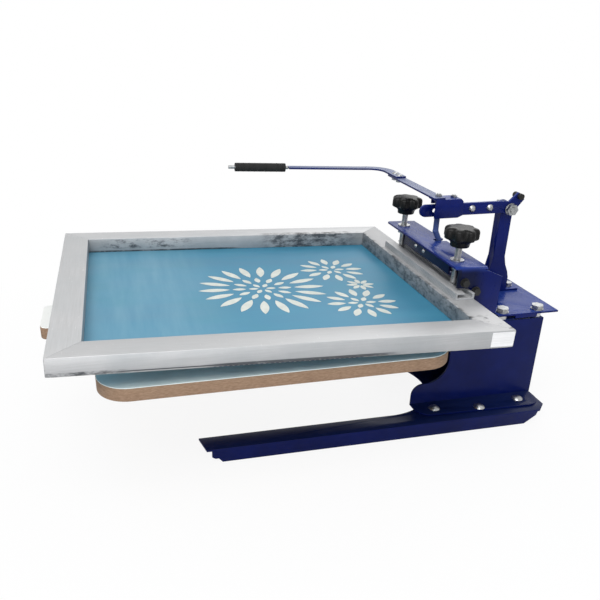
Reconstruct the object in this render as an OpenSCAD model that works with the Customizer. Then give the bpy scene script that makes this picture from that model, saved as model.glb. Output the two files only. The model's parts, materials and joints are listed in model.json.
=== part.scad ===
// Single station screen printing table with a hinged screen clamp and a lift handle.
// Millimetres, +Z up. +X runs from the operator's end to the column, and +Y to the column's left.
// Stations along X are measured from the front tip of the print board, heights from the table.

/* [Screen frame] */
// length of the aluminium screen frame, front to rear
frame_l = 600; // [400:10:800]
// width of the aluminium screen frame
frame_w = 500; // [300:10:700]
// width of one frame bar, seen from above
bar_w = 41; // [25:1:60]
// height of one frame bar
bar_h = 25; // [20:1:50]
// wall thickness of the frame's box bars
bar_wall = 2; // [1:0.5:4]
// thickness of the stretched mesh with its emulsion
mesh_t = 0.6; // [0.2:0.1:1.5]
// how far the screen is lifted from the level, as photographed
screen_lift = 2; // [0:0.5:10]

/* [Print board] */
// length of the print board without its tongue
board_l = 476; // [300:1:600]
// width of the print board
board_w = 482; // [250:1:600]
// thickness of the fibreboard
board_t = 18; // [12:1:30]
// thickness of the laminate on top
laminate_t = 1; // [0.5:0.5:3]
// corner radius of the print board
board_r = 42; // [5:1:80]
// length of the collar tongue at the front
tongue_l = 80; // [0:5:150]
// width of the collar tongue
tongue_w = 86; // [40:1:150]
// height of the printing face above the table
board_z = 207.5; // [150:0.5:300]

/* [Base] */
// length of the base from the arm ends to the rear edge
base_l = 586; // [400:1:800]
// full width of the base
base_w = 262; // [200:1:400]
// width of one base arm
arm_w = 34; // [20:1:60]
// height of the base over the table
base_h = 24; // [15:1:40]
// thickness of the base sheet
base_t = 3; // [2:0.5:6]

/* [Column] */
// distance from the column's side to the base's edge
base_margin = 56; // [50:1:70]
// height of the column's top over the table
column_z = 167; // [120:1:220]
// thickness of the column's plates
column_t = 3; // [2:0.5:6]
// gap between the screen frame and the column's front edge, seen from above
column_gap = 14.5; // [12:0.5:40]
// length of the column's top, front to rear
column_l = 161.5; // [150:0.5:220]
// length of the foot in front of the column's front edge
foot_reach = 62; // [30:1:90]

/* [Levelling plate] */
// length of the levelling plate, front to rear
level_l = 110; // [80:1:160]
// height of the gap that the spacers hold open
spacer_h = 8; // [4:0.5:20]
// thickness of the levelling plate
level_t = 3; // [2:0.5:6]
// spacing of the levelling bolts, front to rear
level_bolt_dx = 64; // [50:1:120]

/* [Screen clamp] */
// length of the clamp head's top plate, front to rear
head_l = 52; // [40:1:90]
// width of the clamp head over its side plates
head_w = 264; // [200:1:320]
// height of the head's top over the screen frame
head_rise = 45.5; // [35:0.5:70]
// length of the head's side plates
cheek_l = 71.6; // [60:1:100]
// height of the hinge shaft over the table
hinge_z = 217; // [200:1:260]
// distance of the hinge shaft behind the screen frame
hinge_back = 101; // [90:1:120]
// diameter of the hinge shaft
shaft_d = 12; // [8:1:20]
// spacing of the two clamp screws
screw_dy = 192; // [120:1:240]
// diameter of the clamp screws
screw_d = 9.5; // [6:1:14]
// diameter of the clamp knobs
knob_d = 52; // [40:1:70]
// number of lobes on each knob
knob_lobes = 7; // [5:1:10]

/* [Lift handle] */
// distance of the lever pivot in front of the column's rear edge
pivot_inset = 36; // [30:1:50]
// height of the lever pivot over the table
pivot_z = 330; // [280:1:380]
// height of the lever's flat bar
lever_h = 20; // [15:1:30]
// thickness of the lever's flat bar
lever_t = 5; // [3:0.5:8]
// diameter of the link rod
rod_d = 9; // [5:0.5:12]
// width of the handle straps
strap_w = 19; // [12:1:25]
// thickness of the handle straps
strap_t = 3; // [2:0.5:6]
// length of the foam grip
grip_l = 94; // [60:1:140]
// diameter of the foam grip
grip_d = 15.5; // [10:1:30]

/* [Fits] */
// clearance between a turning part and its bore, on the diameter
run_fit = 0.4; // [0.1:0.1:1]
// gap left between parts that touch
seat = 0.1; // [0:0.05:0.5]

/* [Hidden] */
$fn = 48;
steel_blue = [0.08, 0.15, 0.52];
steel_blue_dark = [0.05, 0.08, 0.32];
zinc = [0.78, 0.79, 0.8];
alu = [0.8, 0.81, 0.82];
black = [0.05, 0.05, 0.055];
nylon = [0.93, 0.93, 0.92];
fibre = [0.66, 0.5, 0.38];
laminate = [0.62, 0.7, 0.7];
emulsion = [0.35, 0.62, 0.74];

frame_gap = 5;
frame_z = board_z + frame_gap;
frame_top = frame_z + bar_h;
frame_front = 27;
frame_rear = frame_front + frame_l;
board_rear = tongue_l + board_l;
column_w = base_w - 2 * base_margin;
column_front = frame_rear + column_gap;
column_rear = column_front + column_l;
foot_w = base_margin - 14;
level_bolt_dy = column_w - 24;
hinge_x = frame_rear + hinge_back;
pivot_x = column_rear - pivot_inset;
base_front = column_rear + 1 - base_l;
level_rear = column_rear + 25;
level_front = level_rear - level_l;
bolt_mid = level_front + 46;
overall_l = level_rear;
mid_x = overall_l / 2;
level_z = column_z + spacer_h + level_t;
head_top = frame_top + head_rise;
head_t = 3;
head_front = frame_rear - 31.3;
head_rear = head_front + head_l;
cheek_front = frame_rear - 26.4;
cheek_rear = cheek_front + cheek_l;
cheek_z = frame_z - 3.5;
jaw_t = 5;
jaw_reach = 38;
jaw_h = 30;
screw_x = frame_rear - 12.4;
rail_front = frame_rear - 32.5;
rail_w = 30;
rail_h = 10.5;
rail_l = 264;
rail_shift = -11;
slot_open = 10.6;
lip_back = 5;
lip_y0 = -100;
lip_y1 = 58;
slot_l = 20;
slot_w = 12;
knob_rise = 22.5;
pin_d = 5;
post_x = pivot_x - 11;
post_y = 22;
post_l = 21;
post_d = 18;
lever_y = 14.2;
rod_y = 7;
rod_top_z = 348.5;
rod_foot_z = 286.8;
rod_foot_x = frame_rear + 11.8;
rod_top_x = rod_foot_x - 7.5;
saddle_y = -5;
saddle_front = rod_top_x - 10.8;
saddle_rear = saddle_front + 47.5;
saddle_top = 356.5;
saddle_low = 325.8;
saddle_t = 3;
lever_mid = 334;
strap_y = 8;
strap_high_l = 148;
strap_tilt = 2.6;
strap_x = saddle_front + 5.5;
strap_z = saddle_top + seat;
strap_bend = 38;
lap_y = 146;
lap_l = 37;
grip_y = 237;
stub = 6;
bolt_d = 10;
hex_af = 17;

// Shared shapes.

// A place given by its station and height.
module at(x, y, z) {
  translate([x - mid_x, y, z]) children();
}

// Everything that swings with the screen, drawn level and then lifted about the hinge shaft.
module lifted() {
  translate([hinge_x - mid_x, 0, hinge_z])
    rotate([0, screen_lift, 0])
      translate([-(hinge_x - mid_x), 0, -hinge_z]) children();
}

// Rounded rectangle outline, centred.
module round_rect(l, w, r) {
  hull()
    for (sx = [-1, 1], sy = [-1, 1])
      translate([sx * (l / 2 - r), sy * (w / 2 - r)]) circle(r);
}

// Hexagon prism with its flats a given distance apart.
module hex(af, h) {
  cylinder(d = af / cos(30), h = h, $fn = 6);
}

// Hexagon bolt standing on its seat, with a washer under the head and a shank below.
module hex_bolt(d, af, head, washer_d, washer_t, shank) {
  cylinder(d = washer_d, h = washer_t);
  translate([0, 0, washer_t]) hex(af, head);
  translate([0, 0, -shank]) cylinder(d = d, h = shank + washer_t);
}

// Low round head on its seat, with a shank below.
module round_bolt(d, head_d, head, shank) {
  sphere_r = (head_d * head_d / 4 + head * head) / (2 * head);
  rotate_extrude() intersection() {
    translate([0, head - sphere_r]) circle(sphere_r, $fn = 96);
    square([head_d / 2, head]);
  }
  translate([0, 0, -shank]) cylinder(d = d, h = shank + 0.5);
}

// Upright plate in the XZ plane from an outline in station and height.
module xz_plate(y0, t) {
  translate([-mid_x, y0 + t, 0]) rotate([90, 0, 0]) linear_extrude(t) children();
}

// Base.

module base_outline() {
  inner_r = base_w / 2 - arm_w;
  end_x = base_front + base_l;
  bend_x = column_front - foot_reach - 41.5;
  corner = 16;
  slant = 8;
  difference() {
    polygon([
      [base_front, inner_r], [base_front, -inner_r], [base_front + slant, -base_w / 2],
      [end_x - corner, -base_w / 2], [end_x, -base_w / 2 + corner],
      [end_x, base_w / 2 - corner], [end_x - corner, base_w / 2], [base_front + slant, base_w / 2]
    ]);
    translate([bend_x, 0]) circle(inner_r, $fn = 96);
    translate([base_front - 1, -inner_r]) square([bend_x - base_front + 1, 2 * inner_r]);
  }
}

module base_lip_outline() {
  lip_x = base_front + 16;
  rear_x = base_front + base_l;
  polygon([
    [lip_x, base_h - 1], [lip_x, 10], [lip_x + 5, 7], [lip_x + 10, 7], [lip_x + 16, 0],
    [rear_x - 42, 0], [rear_x - 22, 14], [rear_x - 19, base_h - 1]
  ]);
}

module foot_holes(d) {
  for (s = [-1, 1])
    for (p = foot_places)
      at(p[0], s * p[1], 0) cylinder(d = d, h = column_z);
}

foot_places = [
  [column_front - 28.5, column_w / 2 + foot_w / 2 - 1.5],
  [column_front + 47.5, column_w / 2 + foot_w - 11],
  [column_front + 125.5, column_w / 2 + foot_w / 2 - 1.5]
];

module base_plate() {
  color(steel_blue) {
    difference() {
      translate([-mid_x, 0, base_h - base_t]) linear_extrude(base_t) base_outline();
      foot_holes(8 + run_fit);
    }
    for (s = [-1, 1])
      xz_plate(s > 0 ? base_w / 2 - base_t : -base_w / 2, base_t) base_lip_outline();
  }
}

// Column.

module side_outline() {
  bulge_r = 20;
  sweep_r = 38.5;
  foot_x = column_front - foot_reach;
  foot_top = base_h + base_t + 36;
  difference() {
    union() {
      translate([column_front, base_h]) square([column_rear - column_front, column_z - base_h]);
      translate([foot_x, base_h]) square([foot_reach + 1, foot_top - base_h - bulge_r]);
      translate([foot_x + bulge_r, base_h]) square([foot_reach - bulge_r + 1, foot_top - base_h]);
      translate([foot_x + bulge_r, foot_top - bulge_r]) circle(bulge_r);
      translate([column_front - sweep_r, foot_top - 1]) square([sweep_r + 1, sweep_r + 1]);
    }
    translate([column_front - sweep_r, foot_top + sweep_r]) circle(sweep_r, $fn = 96);
  }
}

module foot_outline(s) {
  r = 24;
  x0 = column_front - foot_reach;
  x1 = column_rear - 2;
  hull() {
    translate([x0 + r, s * (column_w / 2 + foot_w - 5 - r)]) circle(r);
    translate([x1 - r, s * (column_w / 2 + foot_w - r)]) circle(r);
    translate([x0, s * (column_w / 2 - column_t / 2) - column_t / 2]) square([x1 - x0, column_t]);
  }
}

module column_side(s) {
  inner = column_w / 2 - column_t;
  color(steel_blue) {
    xz_plate(s > 0 ? inner : -column_w / 2, column_t) side_outline();
    difference() {
      translate([-mid_x, 0, base_h + seat]) linear_extrude(column_t) foot_outline(s);
      foot_holes(8 + run_fit);
    }
  }
}

module column_side_right() {
  column_side(-1);
}

module column_side_left() {
  column_side(1);
}

module column_back() {
  w = column_w - 2 * column_t - 2 * seat;
  color(steel_blue)
    at(column_rear - column_t, -w / 2, base_h + seat)
      cube([column_t, w, column_z - 18 - base_h]);
}

module level_places() {
  for (sx = [-1, 1], sy = [-1, 1])
    at(bolt_mid + sx * level_bolt_dx / 2, sy * level_bolt_dy / 2, 0) children();
}

module support_places() {
  for (dx = [14, 48]) at(column_front + dx, 0, 0) children();
}

module column_top() {
  w = column_w - 2 * column_t - 2 * seat;
  color(steel_blue) difference() {
    at(column_front, -w / 2, column_z - column_t)
      cube([column_rear - column_front, w, column_t]);
    level_places() translate([0, 0, column_z - 10]) cylinder(d = bolt_d + run_fit, h = 20);
    support_places() translate([0, 0, column_z - 10]) cylinder(d = 8 + run_fit, h = 20);
  }
}

module foot_bolts() {
  color(zinc)
    for (s = [-1, 1])
      for (p = foot_places)
        at(p[0], s * p[1], base_h + column_t + 2 * seat) {
          round_bolt(8, 19, 5, base_t + column_t + 4);
          translate([0, 0, -base_t - column_t - 3 * seat - 5]) hex(13, 5);
        }
}

// Print board and its support.

support_w = 80;
support_front = 330;
support_rear = column_front + 68;
support_z = board_z - laminate_t - board_t;

module board_screw_places() {
  for (x = [support_front + 24, support_front + 110, board_rear - 30], s = [-1, 1])
    at(x, s * 26, 0) children();
}

module board_support() {
  h = support_z - column_z;
  t = 4;
  color(steel_blue_dark) difference() {
    at(support_front, -support_w / 2, column_z + seat)
      cube([support_rear - support_front, support_w, h - 2 * seat]);
    at(support_front - 1, -support_w / 2 + t, column_z - 1)
      cube([support_rear - support_front + 2, support_w - 2 * t, h - t + 1]);
    board_screw_places() translate([0, 0, column_z]) cylinder(d = 6 + run_fit, h = h + 1);
    support_places() translate([0, 0, column_z - 5]) cylinder(d = 8 + run_fit, h = h + 6);
  }
}

module support_bolts() {
  color(zinc) {
    support_places() {
      translate([0, 0, column_z - column_t - 6]) hex(13, 6 - seat);
      translate([0, 0, column_z - column_t - 8]) cylinder(d = 8, h = support_z - column_z + 10);
    }
    board_screw_places() {
      translate([0, 0, support_z - 4 - 4 - seat]) cylinder(d = 11, h = 4);
      translate([0, 0, support_z - 6]) cylinder(d = 6, h = 5);
    }
  }
}

module board_outline(grow) {
  translate([tongue_l + board_l / 2, 0]) offset(grow) round_rect(board_l, board_w, board_r);
  offset(grow) hull() {
    translate([12, -tongue_w / 2 + 12]) circle(12);
    translate([12, tongue_w / 2 - 12]) circle(12);
    translate([tongue_l, -tongue_w / 2]) square([20, tongue_w]);
  }
}

module print_board() {
  color(fibre)
    translate([-mid_x, 0, support_z]) linear_extrude(board_t) board_outline(0);
}

module print_board_top() {
  color(laminate)
    translate([-mid_x, 0, board_z - laminate_t + seat / 2])
      linear_extrude(laminate_t - seat / 2) board_outline(-0.5);
}

// Levelling plate.

module leveling_plate() {
  lip = 8;
  lip_l = 39;
  color(steel_blue) difference() {
    union() {
      at(level_front, -column_w / 2, level_z - level_t) cube([level_l, column_w, level_t]);
      for (s = [-1, 1])
        at(bolt_mid - 14, s > 0 ? column_w / 2 - level_t : -column_w / 2, level_z - lip)
          cube([lip_l, level_t, lip]);
    }
    level_places() translate([0, 0, level_z - 20]) cylinder(d = bolt_d + run_fit, h = 40);
    plate_bolt_places() translate([0, 0, level_z - 20]) cylinder(d = 8 + run_fit, h = 40);
  }
}

module leveling_bolts() {
  color(zinc) level_places() {
    translate([0, 0, level_z + seat])
      hex_bolt(bolt_d, hex_af, 6.5, 20, 1.5, spacer_h + level_t + column_t + 10);
    translate([0, 0, column_z - column_t - 8 - seat]) hex(hex_af, 8);
  }
}

module leveling_spacers() {
  color(nylon) level_places() translate([0, 0, column_z + seat]) difference() {
    cylinder(d = 15, h = spacer_h - 2 * seat);
    translate([0, 0, -1]) cylinder(d = bolt_d + run_fit, h = spacer_h + 2);
  }
}

// Head hinge.

ear_y = 29;
ear_t = 5;

module ear_places() {
  for (s = [-1, 1]) at(hinge_x + 3, s * (ear_y - 12), 0) children();
}

module plate_bolt_places() {
  ear_places() children();
  post_place() children();
}

module hinge_ears() {
  foot_x = level_front + 1;
  foot_l = 22;
  color(steel_blue) for (s = [-1, 1]) difference() {
    union() {
      hull() {
        at(hinge_x, s > 0 ? ear_y : -ear_y - ear_t, hinge_z) rotate([-90, 0, 0]) cylinder(r = 9, h = ear_t);
        at(foot_x, s > 0 ? ear_y : -ear_y - ear_t, level_z + seat) cube([foot_l, ear_t, 1]);
      }
      at(foot_x, s > 0 ? ear_y - 24 : -ear_y, level_z + seat) cube([foot_l, 24, 4]);
    }
    at(hinge_x, s * (ear_y + ear_t / 2), hinge_z) rotate([90, 0, 0])
      cylinder(d = shaft_d + run_fit, h = 3 * ear_t, center = true);
    ear_places() translate([0, 0, level_z - 20]) cylinder(d = 8 + run_fit, h = 40);
  }
}

module hinge_shaft() {
  collar_t = 3;
  color(zinc) {
    at(hinge_x, 0, hinge_z) rotate([90, 0, 0])
      cylinder(d = shaft_d, h = 2 * (ear_y + ear_t + collar_t) + 4, center = true);
    for (s = [-1, 1])
      at(hinge_x, s * (ear_y + ear_t + collar_t / 2 + 0.5), hinge_z) rotate([90, 0, 0])
        cylinder(d = 16, h = collar_t, center = true);
  }
}

// Post.

module post_place() {
  at(post_x + 47, post_y + 16, 0) children();
}

module post_profile() {
  foot = level_z + seat;
  hull() {
    translate([post_x, foot]) square([post_l, pivot_z - foot]);
    translate([pivot_x, pivot_z]) circle(post_l / 2);
  }
  polygon([
    [post_x - 12, foot], [post_x - 9, foot + 18], [post_x, foot + 66],
    [post_x + post_l, foot + 66], [post_x + post_l + 4, foot + 50],
    [post_x + post_l + 10, foot + 37], [post_x + post_l + 13, foot + 26], [post_x + post_l + 13, foot]
  ]);
}

module handle_post() {
  t = 3;
  foot = level_z + seat;
  color(steel_blue) difference() {
    union() {
      for (y = [post_y, post_y + post_d - t]) xz_plate(y, t) post_profile();
      at(post_x, post_y, foot) cube([t, post_d, pivot_z - foot]);
      at(post_x - 8, post_y, foot) cube([66, 30, t]);
    }
    at(pivot_x, post_y, pivot_z) rotate([90, 0, 0])
      cylinder(d = bolt_d + run_fit, h = 4 * post_d, center = true);
    post_place() translate([0, 0, foot - 5]) cylinder(d = 8 + run_fit, h = 20);
  }
}

module pivot_bolt() {
  y0 = lever_y - 0.3;
  color(zinc) at(pivot_x, 0, pivot_z) {
    translate([0, y0, 0]) rotate([90, 0, 0]) {
      cylinder(d = 20, h = 1.6);
      translate([0, 0, 1.6]) hex(17, 7);
      translate([0, 0, 1.6]) cylinder(d = bolt_d, h = 10);
    }
    translate([0, y0 - 1, 0]) rotate([-90, 0, 0]) cylinder(d = bolt_d, h = post_y + post_d - y0 + 10);
    translate([0, post_y + post_d + seat, 0]) rotate([-90, 0, 0]) hex(17, 8);
    translate([0, lever_y + lever_t + 0.6, 0]) rotate([-90, 0, 0])
      cylinder(d = 18, h = post_y - lever_y - lever_t - 0.8);
  }
}

// Clamp head, drawn level.

module knob_places() {
  for (s = [-1, 1]) at(screw_x, s * screw_dy / 2, 0) children();
}

module plate_bolts() {
  nut_z = level_z - level_t - 5 - seat;
  color(zinc) {
    ear_places() translate([0, 0, level_z + 4 + 2 * seat]) hex_bolt(8, 13, 5, 15, 1.5, 13);
    post_place() translate([0, 0, level_z + 3 + 2 * seat]) hex_bolt(8, 13, 5, 15, 1.5, 12);
    plate_bolt_places() translate([0, 0, nut_z]) hex(13, 5);
  }
}

module head_side_outline() {
  throat_x = frame_rear + 3;
  throat_z = frame_top + 14.5;
  translate([head_front, head_top - head_t]) square([head_l, head_t]);
  polygon([
    [cheek_front, throat_z], [cheek_front, head_top], [head_rear - 15, head_top],
    [cheek_rear - 20.6, head_top - 6.5], [cheek_rear, head_top - 15],
    [cheek_rear, cheek_z], [throat_x, cheek_z], [throat_x, throat_z]
  ]);
}

module bend_outline(w, top, r) {
  low = cheek_z - 10;
  translate([-w, low]) square([2 * w, top - low - r]);
  translate([-w + r, low]) square([2 * (w - r), top - low]);
  for (s = [-1, 1]) translate([s * (w - r), top - r]) circle(r);
}

module head_shell() {
  r = 8;
  intersection() {
    at(head_front - 5, 0, 0) rotate([90, 0, 90]) linear_extrude(cheek_rear - head_front + 10) difference() {
      bend_outline(head_w / 2, head_top, r);
      bend_outline(head_w / 2 - head_t, head_top - head_t, r - head_t);
    }
    xz_plate(-head_w / 2 - 1, head_w + 2) head_side_outline();
  }
}

module clamp_head() {
  web_h = 38;
  lip_h = 20;
  corner = 10;
  inner = head_w / 2 - head_t;
  color(steel_blue) lifted() difference() {
    union() {
      head_shell();
      at(head_front + lip_back, lip_y0, head_top - lip_h) cube([head_t, lip_y1 - lip_y0, lip_h - 1]);
      at(head_rear - head_t, -inner - 0.5, head_top - web_h - head_t)
        cube([head_t, 2 * inner + 1, web_h + 1]);
    }
    knob_places() translate([0, 0, head_top - 15]) cylinder(d = screw_d + run_fit, h = 30);
    at(head_front, head_w / 2, head_top) rotate(45)
      cube([corner * sqrt(2), corner * sqrt(2), 3 * head_t], center = true);
    at(head_front - 1, inner - 2, cheek_z - 1)
      cube([frame_rear + 3 - head_front, head_t + 4, head_top - head_t - cheek_z]);
    at(rod_foot_x - slot_l / 2, rod_y - slot_w / 2, head_top - 10) cube([slot_l, slot_w, 20]);
    at(head_rear - head_t - 1, rod_y - 10, head_top - head_t - 29) cube([head_t + 2, 20, 29]);
  }
}

module clamp_jaw() {
  inner = head_w - 2 * head_t - 2 * seat;
  color(steel_blue_dark) lifted() {
    at(frame_rear - jaw_reach, -inner / 2, frame_z - jaw_t - seat)
      cube([jaw_reach + 2 + jaw_t, inner, jaw_t]);
    at(frame_rear + 2, -inner / 2, frame_z - jaw_t - seat) cube([jaw_t, inner, jaw_h]);
  }
}

module hinge_arms() {
  t = 7;
  y_in = ear_y - 5 - t;
  color(steel_blue_dark) lifted() for (s = [-1, 1]) difference() {
    hull() {
      at(hinge_x, s > 0 ? y_in : -y_in - t, hinge_z) rotate([-90, 0, 0]) cylinder(r = 10, h = t);
      at(frame_rear + 2 + jaw_t + seat, s > 0 ? y_in : -y_in - t, frame_z - jaw_t) cube([10, t, jaw_h]);
    }
    at(hinge_x, 0, hinge_z) rotate([90, 0, 0]) cylinder(d = shaft_d + run_fit, h = 3 * ear_y, center = true);
  }
}

module cheek_bolts() {
  color(black) lifted()
    for (p = [[cheek_front + 11, head_top - 22], [cheek_front + 31, head_top - 36]])
      at(p[0], -head_w / 2 - seat, p[1]) rotate([90, 0, 0]) {
        cylinder(d = 14, h = 1.5);
        translate([0, 0, 1.5]) hex(10, 5);
      }
}

module head_hardware() {
  nut_h = 9;
  color(zinc) lifted() {
    knob_places() difference() {
      union() {
        translate([0, 0, head_top + seat]) cylinder(d = 21, h = 2);
        translate([0, 0, head_top - head_t - nut_h - seat]) hex(17, nut_h);
      }
      translate([0, 0, head_top - 30]) cylinder(d = screw_d + run_fit, h = 60);
    }
    for (y = [-15, 14])
      at(head_front + lip_back - seat, y, head_top - 11) rotate([0, -90, 0]) round_bolt(4, 7, 2.2, 0);
  }
}

module rail_outline() {
  floor_t = 3.3;
  lip_t = 2;
  wall = 3;
  rib = 0.5;
  difference() {
    square([rail_w, rail_h]);
    translate([wall, floor_t]) square([rail_w - 2 * wall, rail_h - floor_t - lip_t]);
    translate([screw_x - rail_front - slot_open / 2, floor_t]) square([slot_open, rail_h]);
    for (i = [0 : 4]) translate([-rib, 1 + i * 2]) square([2 * rib, 1]);
  }
}

module clamp_rail() {
  color(alu) lifted()
    at(rail_front, rail_l / 2 + rail_shift, frame_top + seat) rotate([90, 0, 0])
      linear_extrude(rail_l) rail_outline();
}

// Screen frame.

module bar_profile() {
  difference() {
    square([bar_w, bar_h]);
    translate([bar_wall, bar_wall]) square([bar_w - 2 * bar_wall, bar_h - 2 * bar_wall]);
  }
}

// Box bar along +X with mitred ends, its outer face on y = 0 and its body towards +Y.
module frame_bar(l) {
  gap = 0.05;
  intersection() {
    rotate([90, 0, 90]) linear_extrude(l) bar_profile();
    linear_extrude(bar_h) polygon([
      [gap, 0], [l - gap, 0], [l - bar_w - gap, bar_w], [bar_w + gap, bar_w]
    ]);
  }
}

module frame_front_bar() {
  color(alu) lifted() at(frame_front, frame_w / 2, frame_z) rotate(-90) frame_bar(frame_w);
}

module frame_rear_bar() {
  color(alu) lifted() at(frame_rear, -frame_w / 2, frame_z) rotate(90) frame_bar(frame_w);
}

module frame_right_bar() {
  color(alu) lifted() at(frame_front, -frame_w / 2, frame_z) frame_bar(frame_l);
}

module frame_left_bar() {
  color(alu) lifted() at(frame_rear, frame_w / 2, frame_z) rotate(180) frame_bar(frame_l);
}

module screen_mesh() {
  edge = 6;
  color(emulsion) lifted() difference() {
    at(frame_front + edge, -frame_w / 2 + edge, frame_z - mesh_t - seat / 2)
      cube([frame_l - 2 * edge, frame_w - 2 * edge, mesh_t]);
    at(frame_rear - jaw_reach - 1, -head_w / 2, frame_z - 10) cube([jaw_reach + 10, head_w, 20]);
  }
}

// Clamp screws and knobs.

module clamp_screw(s) {
  low = frame_top + 3.3 + 3 * seat;
  color(zinc) lifted() at(screw_x, s * screw_dy / 2, low)
    cylinder(d = screw_d, h = head_top + knob_rise - low);
}

module clamp_screw_right() {
  clamp_screw(-1);
}

module clamp_screw_left() {
  clamp_screw(1);
}

module clamp_knob(s) {
  color(black) lifted() at(screw_x, s * screw_dy / 2, head_top + knob_rise + seat) {
    cylinder(d1 = 28, d2 = 30, h = 8);
    translate([0, 0, 7.9]) cylinder(d1 = 30, d2 = 38, h = 5.1);
    translate([0, 0, 12]) difference() {
      cylinder(d = knob_d, h = 16);
      for (i = [0 : knob_lobes - 1])
        rotate(i * 360 / knob_lobes) translate([knob_d / 2 + 2.5, 0, -1]) cylinder(d = 15, h = 20);
    }
    translate([0, 0, 28]) cylinder(d1 = 37, d2 = 30, h = 1.4);
  }
}

module clamp_knob_right() {
  clamp_knob(-1);
}

module clamp_knob_left() {
  clamp_knob(1);
}

// Lift lever.

module lever_outline() {
  tip_x = saddle_front - 16.5;
  elbow_x = pivot_x - 12;
  r = lever_h / 2;
  difference() {
    union() {
      translate([tip_x + r, lever_mid - r]) square([elbow_x - tip_x - r, lever_h]);
      translate([tip_x + r, lever_mid]) circle(r);
      hull() {
        translate([elbow_x, lever_mid]) circle(r);
        translate([pivot_x, pivot_z + 2]) circle(r);
      }
      hull() {
        translate([pivot_x, pivot_z + 2]) circle(r);
        translate([pivot_x + 16, pivot_z + 20]) rotate(45) square([4, 17], center = true);
      }
    }
    translate([pivot_x, pivot_z]) circle(d = bolt_d + run_fit);
    translate([saddle_front + 8.5, lever_mid]) circle(d = 7);
  }
}

module lever_arm() {
  color(steel_blue) xz_plate(lever_y, lever_t) lever_outline();
}

module lever_screws() {
  color(zinc) for (x = [pivot_x - 70.5, pivot_x - 38])
    at(x, lever_y - seat, lever_mid) rotate([90, 0, 0]) round_bolt(6, 12, 3.6, 0);
}

module lever_bumper() {
  color(black) at(pivot_x + 14, lever_y - 6, pivot_z + 21) rotate([-90, 0, 0]) {
    cylinder(d = 10, h = 6 - seat);
    translate([0, 0, 6 + lever_t + seat]) cylinder(d = 10, h = 9);
  }
}

module handle_saddle() {
  far_y = lever_y + lever_t + seat;
  arm_top = lever_mid + lever_h / 2 + 1;
  corner = 4;
  color(steel_blue) difference() {
    union() {
      xz_plate(saddle_y, saddle_t) polygon([
        [saddle_front, saddle_low], [saddle_front, saddle_top], [saddle_rear - corner, saddle_top],
        [saddle_rear, saddle_top - corner],
        [saddle_rear + 2, saddle_low + 4], [saddle_rear - 7, saddle_low]
      ]);
      xz_plate(far_y, saddle_t) polygon([
        [saddle_front + 4.5, saddle_top], [saddle_rear - corner, saddle_top],
        [saddle_rear, saddle_top - corner], [saddle_rear, saddle_low], [saddle_front + 18.5, saddle_low],
        [saddle_front + 18.5, arm_top], [saddle_front + 4.5, arm_top]
      ]);
      at(saddle_front, saddle_y, saddle_top - saddle_t)
        cube([saddle_rear - corner - saddle_front, far_y + saddle_t - saddle_y, saddle_t]);
    }
    at(rod_top_x, 0, rod_top_z) rotate([-90, 0, 0]) cylinder(d = pin_d, h = 4 * post_d);
    saddle_bolt_places() translate([0, 0, saddle_top - 10]) cylinder(d = 6 + run_fit, h = 20);
  }
}

module saddle_bolt_places() {
  for (x = [saddle_front + 9.5, saddle_rear - 11]) at(x, strap_y, 0) children();
}

module saddle_bolts() {
  color(zinc) for (p = [[saddle_front + 9.5, strap_t], [saddle_rear - 11, 0]])
    at(p[0], strap_y, saddle_top + p[1] + 2 * seat) {
      hex(10, 3.4);
      translate([0, 0, -saddle_t - p[1]]) cylinder(d = 6, h = saddle_t + p[1] + 4.4);
    }
}

module saddle_pin() {
  end_y = lever_y + lever_t + seat + saddle_t;
  color(zinc) at(rod_top_x, 0, rod_top_z) rotate([-90, 0, 0]) {
    translate([0, 0, saddle_y + saddle_t]) cylinder(d = pin_d, h = end_y - saddle_y - saddle_t);
    translate([0, 0, end_y]) cylinder(d = 9, h = 2.5);
  }
}

module link_rod() {
  bend_z = 302;
  dx = rod_top_x - rod_foot_x;
  dz = bend_z - rod_foot_z;
  l = sqrt(dx * dx + dz * dz);
  tail = 14;
  color(steel_blue) difference() {
    union() {
      at(rod_top_x, rod_y, bend_z) cylinder(d = rod_d, h = rod_top_z - bend_z);
      at(rod_top_x, rod_y, bend_z) sphere(d = rod_d + 0.8);
      at(rod_foot_x, rod_y, rod_foot_z) rotate([0, atan2(dx, dz), 0]) translate([0, 0, -tail])
        cylinder(d = rod_d, h = l + tail);
      at(rod_top_x, rod_y, rod_top_z) rotate([90, 0, 0])
        cylinder(d = rod_d + 0.6, h = rod_d - 1.5, center = true);
    }
    at(rod_top_x, rod_y, rod_top_z) rotate([90, 0, 0]) cylinder(d = pin_d + run_fit, h = 20, center = true);
  }
}

// Handle straps and grip.

module strap_bolt_places() {
  for (y = [lap_y + 8, lap_y + 27]) at(strap_x, y, 0) children();
}

module handle_strap_lower() {
  color(steel_blue) difference() {
    at(strap_x - strap_w / 2, saddle_y, strap_z) cube([strap_w, lap_y + lap_l - saddle_y, strap_t]);
    strap_bolt_places() cylinder(d = 6 + run_fit, h = 2 * strap_z);
    at(saddle_front + 9.5, strap_y, 0) cylinder(d = 6 + run_fit, h = 2 * strap_z);
  }
}

module bend_ring() {
  intersection() {
    difference() {
      circle(strap_bend + strap_w / 2, $fn = 96);
      circle(strap_bend - strap_w / 2, $fn = 96);
    }
    square(strap_bend + strap_w);
  }
}

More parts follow.
